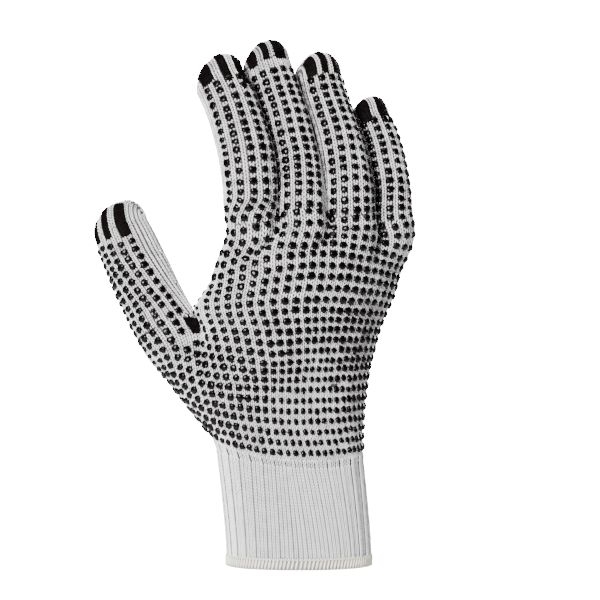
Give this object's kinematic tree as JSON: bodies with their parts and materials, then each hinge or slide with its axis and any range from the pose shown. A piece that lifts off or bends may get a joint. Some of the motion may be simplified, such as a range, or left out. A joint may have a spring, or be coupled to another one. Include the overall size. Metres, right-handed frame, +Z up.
{
  "type": "dotted knit work glove",
  "caption": "Seamless knitted work glove with a ribbed cuff, rows of raised gripping dots and printed fingertip bars, in the open curved form of a worn hand.",
  "frame": {"origin": "centre of the cuff's mouth, in the plane of its hem, where the wrist goes in", "axes": "+Z up from the cuff's mouth towards the fingertips, -Y out of the printed back of the hand that the picture shows, -X towards the thumb"},
  "size_m": [0.1539, 0.0671, 0.2519],
  "materials": {
    "knit": "matt cotton knit",
    "cuff_cotton": "matt ribbed cotton knit",
    "hem_cotton": "overlocked cream thread",
    "black_print": "semi-matt soft vinyl print"
  },
  "bodies": {
    "root": {"hand_body": "knit", "thumb": "knit", "index_finger": "knit", "middle_finger": "knit", "ring_finger": "knit", "little_finger": "knit", "rib_cuff": "cuff_cotton", "cuff_hem": "hem_cotton", "index_bar_left_front": "black_print", "index_bar_middle_front": "black_print", "index_bar_right_front": "black_print", "middle_bar_left_front": "black_print", "middle_bar_middle_front": "black_print", "middle_bar_right_front": "black_print", "ring_bar_left_front": "black_print", "ring_bar_middle_front": "black_print", "ring_bar_right_front": "black_print", "little_bar_left_front": "black_print", "little_bar_right_front": "black_print", "thumb_bar_left_front": "black_print", "thumb_bar_middle_front": "black_print", "thumb_bar_right_front": "black_print", "crotch_patch_front": "black_print", "index_bar_left_back": "black_print", "index_bar_middle_back": "black_print", "index_bar_right_back": "black_print", "middle_bar_left_back": "black_print", "middle_bar_middle_back": "black_print", "middle_bar_right_back": "black_print", "ring_bar_left_back": "black_print", "ring_bar_middle_back": "black_print", "ring_bar_right_back": "black_print", "little_bar_left_back": "black_print", "little_bar_right_back": "black_print", "thumb_bar_left_back": "black_print", "thumb_bar_middle_back": "black_print", "thumb_bar_right_back": "black_print", "crotch_patch_back": "black_print"}
  },
  "joints": []
}
